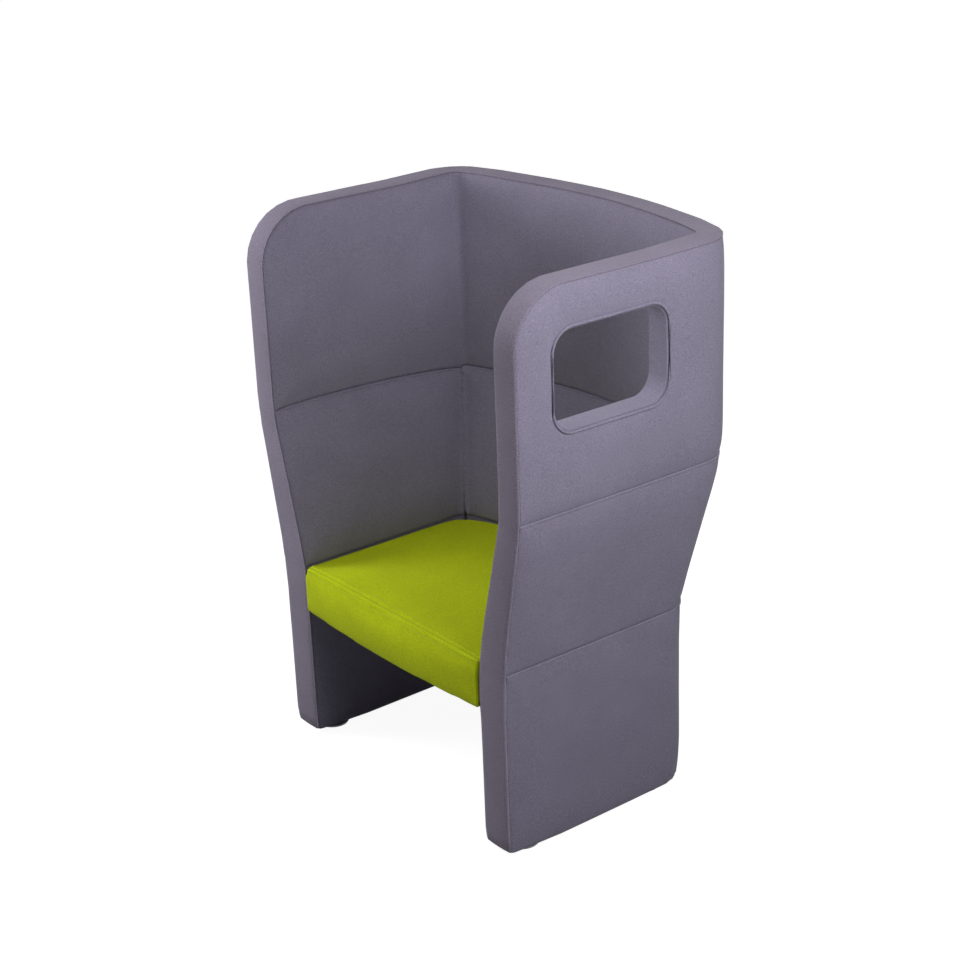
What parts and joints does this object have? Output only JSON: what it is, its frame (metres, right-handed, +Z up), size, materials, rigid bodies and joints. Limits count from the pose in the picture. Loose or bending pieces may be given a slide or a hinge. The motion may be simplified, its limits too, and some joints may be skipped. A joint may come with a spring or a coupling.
{
  "type": "acoustic high back lounge chair",
  "caption": "High back armchair: a padded U-shaped shell that flares above the seat, slab legs, an upholstered seat and a window in one side wall.",
  "frame": {"origin": "on the floor under the middle of the chair's overall width and depth", "axes": "+Z up, the open front faces -Y, the wall with the window is on +X"},
  "size_m": [0.948, 0.702, 1.265],
  "materials": {
    "grey_fabric": "fine woven violet-grey upholstery cloth over foam",
    "green_fabric": "fine woven lime upholstery cloth over foam",
    "plywood": "plain birch plywood, hidden inside the upholstery",
    "black_cloth": "black nonwoven cover under the seat",
    "zinc_steel": "zinc plated",
    "grey_plastic": "light grey moulded plastic"
  },
  "bodies": {
    "chair_frame": {"left_core_board": "plywood", "left_outer_pad_lower": "grey_fabric", "left_inner_pad_lower": "grey_fabric", "left_edge_band_lower": "grey_fabric", "left_outer_pad_middle": "grey_fabric", "left_inner_pad_middle": "grey_fabric", "left_edge_band_middle": "grey_fabric", "left_outer_pad_upper": "grey_fabric", "left_inner_pad_upper": "grey_fabric", "left_edge_band_upper": "grey_fabric", "left_seat_rail": "zinc_steel", "left_leg_bolt_1": "zinc_steel", "left_deck_bolt_1": "zinc_steel", "left_leg_bolt_2": "zinc_steel", "left_deck_bolt_2": "zinc_steel", "left_front_foot_sleeve": "zinc_steel", "left_rear_foot_sleeve": "zinc_steel", "right_core_board": "plywood", "right_outer_pad_lower": "grey_fabric", "right_inner_pad_lower": "grey_fabric", "right_edge_band_lower": "grey_fabric", "right_outer_pad_middle": "grey_fabric", "right_inner_pad_middle": "grey_fabric", "right_edge_band_middle": "grey_fabric", "right_outer_pad_upper": "grey_fabric", "right_inner_pad_upper": "grey_fabric", "right_edge_band_upper": "grey_fabric", "right_seat_rail": "zinc_steel", "right_leg_bolt_1": "zinc_steel", "right_deck_bolt_1": "zinc_steel", "right_leg_bolt_2": "zinc_steel", "right_deck_bolt_2": "zinc_steel", "right_front_foot_sleeve": "zinc_steel", "right_rear_foot_sleeve": "zinc_steel", "back_core_board": "plywood", "back_outer_pad_lower": "grey_fabric", "back_inner_pad_lower": "grey_fabric", "back_outer_pad_middle": "grey_fabric", "back_inner_pad_middle": "grey_fabric", "back_outer_pad_upper": "grey_fabric", "back_inner_pad_upper": "grey_fabric", "back_edge_band": "grey_fabric", "window_outer_welt": "grey_fabric", "window_lining": "grey_fabric", "window_inner_welt": "grey_fabric", "seat_cushion": "green_fabric", "seat_board": "plywood", "seat_dust_cover": "black_cloth"},
    "left_front_stem": {"left_front_foot_stem": "zinc_steel"},
    "left_front_glide": {"left_front_foot_glide": "grey_plastic"},
    "left_rear_stem": {"left_rear_foot_stem": "zinc_steel"},
    "left_rear_glide": {"left_rear_foot_glide": "grey_plastic"},
    "right_front_stem": {"right_front_foot_stem": "zinc_steel"},
    "right_front_glide": {"right_front_foot_glide": "grey_plastic"},
    "right_rear_stem": {"right_rear_foot_stem": "zinc_steel"},
    "right_rear_glide": {"right_rear_foot_glide": "grey_plastic"}
  },
  "joints": [
    {"name": "left_front_foot_travel", "type": "slide", "parent": "chair_frame", "child": "left_front_stem", "axis": [0, 0, -1], "range_m": [0, 0.008]},
    {"name": "left_front_foot_turn", "type": "hinge", "parent": "left_front_stem", "child": "left_front_glide", "pos_m": [-0.361, -0.258, 0.003], "axis": [0, 0, -1], "range_deg": [0, 2300]},
    {"name": "left_rear_foot_travel", "type": "slide", "parent": "chair_frame", "child": "left_rear_stem", "axis": [0, 0, -1], "range_m": [0, 0.008]},
    {"name": "left_rear_foot_turn", "type": "hinge", "parent": "left_rear_stem", "child": "left_rear_glide", "pos_m": [-0.361, 0.09613, 0.003], "axis": [0, 0, -1], "range_deg": [0, 2300]},
    {"name": "right_front_foot_travel", "type": "slide", "parent": "chair_frame", "child": "right_front_stem", "axis": [0, 0, -1], "range_m": [0, 0.008]},
    {"name": "right_front_foot_turn", "type": "hinge", "parent": "right_front_stem", "child": "right_front_glide", "pos_m": [0.361, -0.258, 0.003], "axis": [0, 0, -1], "range_deg": [0, 2300]},
    {"name": "right_rear_foot_travel", "type": "slide", "parent": "chair_frame", "child": "right_rear_stem", "axis": [0, 0, -1], "range_m": [0, 0.008]},
    {"name": "right_rear_foot_turn", "type": "hinge", "parent": "right_rear_stem", "child": "right_rear_glide", "pos_m": [0.361, 0.09613, 0.003], "axis": [0, 0, -1], "range_deg": [0, 2300]}
  ],
  "couplings": [
    {"joint": "left_front_foot_travel", "follows": "left_front_foot_turn", "m_per_rad": 0.00019894},
    {"joint": "left_rear_foot_travel", "follows": "left_rear_foot_turn", "m_per_rad": 0.00019894},
    {"joint": "right_front_foot_travel", "follows": "right_front_foot_turn", "m_per_rad": 0.00019894},
    {"joint": "right_rear_foot_travel", "follows": "right_rear_foot_turn", "m_per_rad": 0.00019894}
  ]
}
